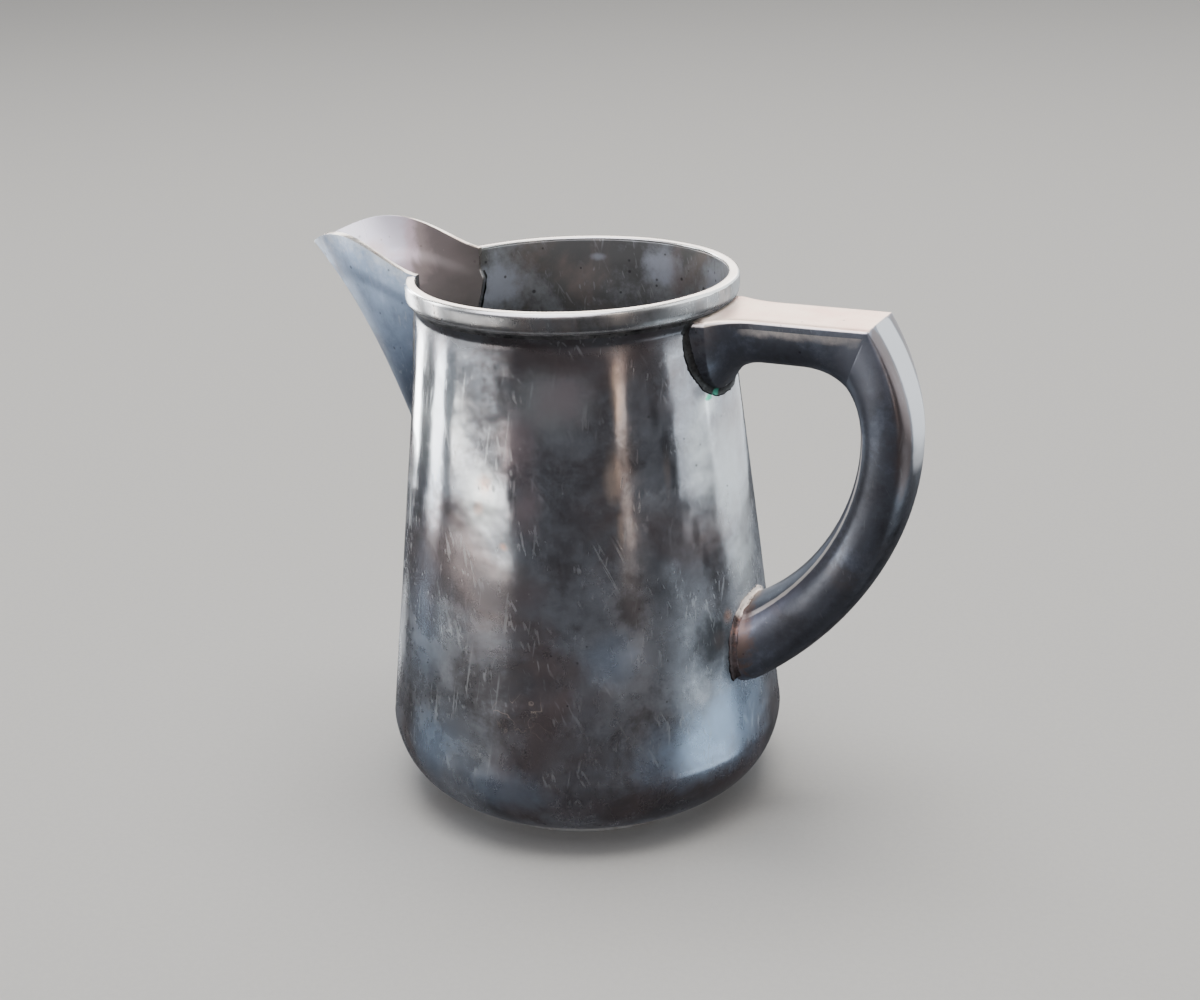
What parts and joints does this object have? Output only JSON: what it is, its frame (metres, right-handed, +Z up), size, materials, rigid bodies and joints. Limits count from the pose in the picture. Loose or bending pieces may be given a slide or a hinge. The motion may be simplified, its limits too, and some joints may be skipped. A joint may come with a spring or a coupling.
{
  "type": "cream jug",
  "caption": "Small tapering round jug with a pointed pouring lip, a moulded rim, a foot ring and a hollow loop handle with a flat top arm.",
  "frame": {"origin": "centre of the foot's resting plane, on the body's axis", "axes": "+Z up along the body's axis, +X from the axis towards the handle, -X towards the spout, so +Y is across the jug"},
  "size_m": [0.1193, 0.075, 0.1048],
  "materials": {
    "tarnished_body": "silver plate, polished once, now heavily tarnished blue-grey and brown",
    "tarnished_base": "silver plate, dull and dark",
    "worn_silver": "silver plate worn bright",
    "worn_rim": "silver plate worn bright on the edge",
    "dark_solder": "tarnished solder, nearly black",
    "tarnished_spout": "silver plate tarnished slate blue, iridescent inside",
    "grey_solder": "pitted grey solder",
    "handle_silver": "silver plate, warm on top and charcoal on the sides",
    "copper_solder": "plate worn through to a coppery colour at the solder"
  },
  "bodies": {
    "root": {"body_wall": "tarnished_body", "base_plate": "tarnished_base", "foot_ring": "worn_silver", "rim_band": "worn_rim", "rim_solder": "dark_solder", "spout": "tarnished_spout", "spout_solder": "grey_solder", "handle_back": "handle_silver", "handle_belly": "handle_silver", "upper_handle_solder": "dark_solder", "lower_handle_solder": "copper_solder", "base_solder": "grey_solder"}
  },
  "joints": []
}
